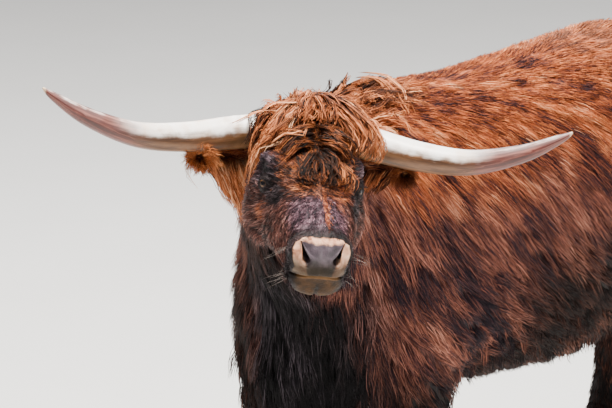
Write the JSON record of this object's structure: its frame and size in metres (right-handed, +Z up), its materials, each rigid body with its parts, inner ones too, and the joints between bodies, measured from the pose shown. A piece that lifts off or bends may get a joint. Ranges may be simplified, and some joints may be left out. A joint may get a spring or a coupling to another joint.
{
  "type": "highland cow, life-size standing figure with its head turned",
  "caption": "Life-size standing highland cow with long shaggy red coat, wide upswept horns, head turned to its left over the near foreleg, small udder, tail with a full switch",
  "frame": {"origin": "on the ground under the middle of the bounding box", "axes": "+X to the cow's left, +Y towards its tail, +Z up; the body faces -Y and the head is turned 45 degrees towards +X"},
  "size_m": [1.062, 2.2898, 1.323],
  "materials": {
    "red_coat": "long shaggy orange-red to red-brown hair",
    "dark_coat": "shaggy dark brown hair",
    "black_coat": "short near-black face hair",
    "ginger_hair": "long wavy ginger hair",
    "bare_skin": "bare pinkish-tan skin, moist grey at the nose",
    "horn": "satin ivory horn, pinkish brown towards the tips",
    "claw": "dull dark grey horn",
    "eye": "wet, very dark brown"
  },
  "bodies": {
    "root": {"head": "black_coat", "muzzle": "bare_skin", "lower_jaw": "black_coat", "neck": "red_coat", "shoulders": "red_coat", "barrel": "red_coat", "rump": "red_coat", "udder": "bare_skin", "forelock": "ginger_hair", "ear_l": "dark_coat", "ear_r": "dark_coat", "horn_l": "horn", "horn_r": "horn", "eye_l": "eye", "eye_r": "eye", "tail_dock": "red_coat", "tail_switch": "ginger_hair", "foreleg_upper_l": "dark_coat", "foreleg_lower_l": "dark_coat", "foreleg_upper_r": "dark_coat", "foreleg_lower_r": "dark_coat", "hindleg_upper_l": "dark_coat", "hindleg_lower_l": "dark_coat", "hindleg_upper_r": "dark_coat", "hindleg_lower_r": "dark_coat", "claw_fore_l_outer": "claw", "claw_fore_l_inner": "claw", "claw_fore_r_outer": "claw", "claw_fore_r_inner": "claw", "claw_hind_l_outer": "claw", "claw_hind_l_inner": "claw", "claw_hind_r_outer": "claw", "claw_hind_r_inner": "claw", "dewclaw_fore_l_outer": "claw", "dewclaw_fore_l_inner": "claw", "dewclaw_fore_r_outer": "claw", "dewclaw_fore_r_inner": "claw", "dewclaw_hind_l_outer": "claw", "dewclaw_hind_l_inner": "claw", "dewclaw_hind_r_outer": "claw", "dewclaw_hind_r_inner": "claw"}
  },
  "joints": []
}
